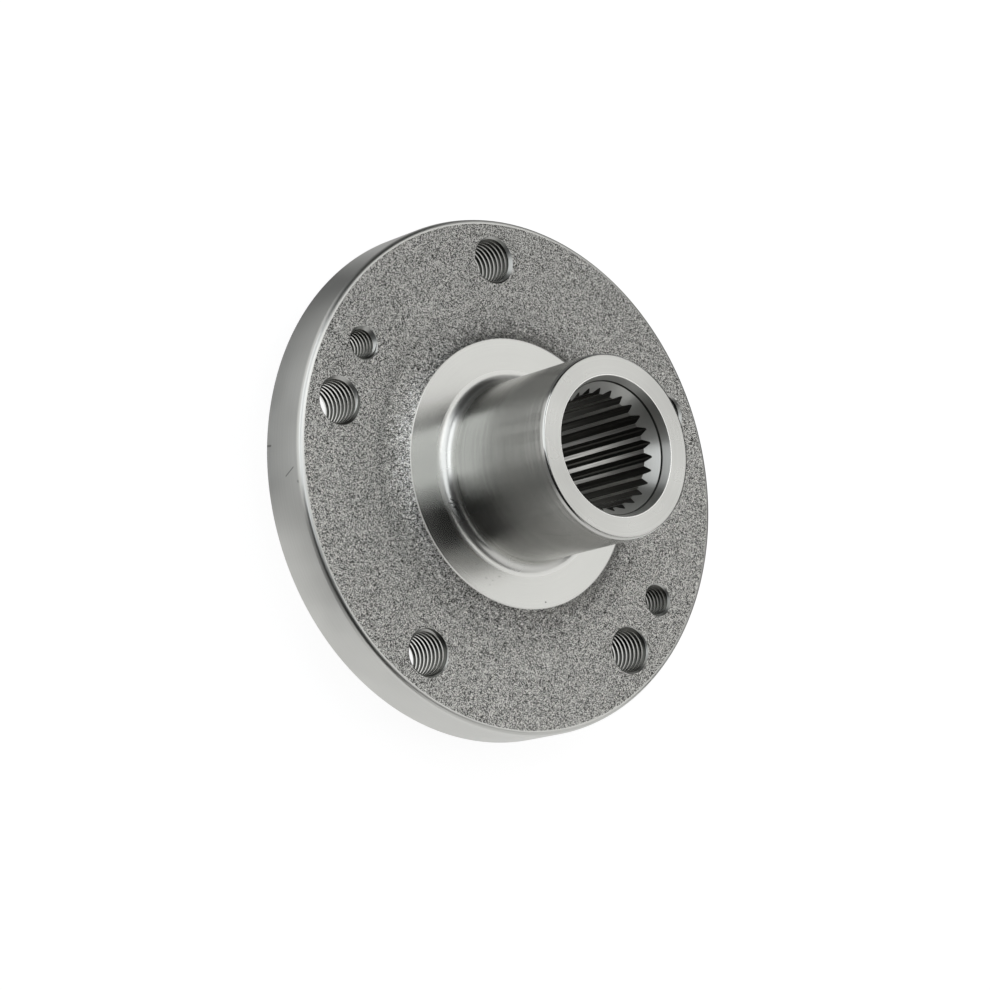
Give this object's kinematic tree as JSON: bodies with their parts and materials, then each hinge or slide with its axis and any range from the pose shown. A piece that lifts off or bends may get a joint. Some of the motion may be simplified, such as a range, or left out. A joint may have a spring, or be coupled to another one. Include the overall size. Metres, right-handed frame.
{
  "type": "wheel hub",
  "caption": "Splined front wheel hub: drive flange with tapped wheel bolt and disc screw holes, ground bearing journal and centring spigot.",
  "frame": {"origin": "where the hub axis crosses the wheel and disc seat, at the root of the centring spigot", "axes": "+Z along the hub axis, inboard towards the journal's nose; +Y through one wheel bolt hole"},
  "size_m": [0.1288, 0.1288, 0.0636],
  "materials": {
    "steel": "bare machined steel; the inboard flange face and fillet are left as a shot-blasted forging skin"
  },
  "bodies": {
    "root": {"hub": "steel"}
  },
  "joints": []
}
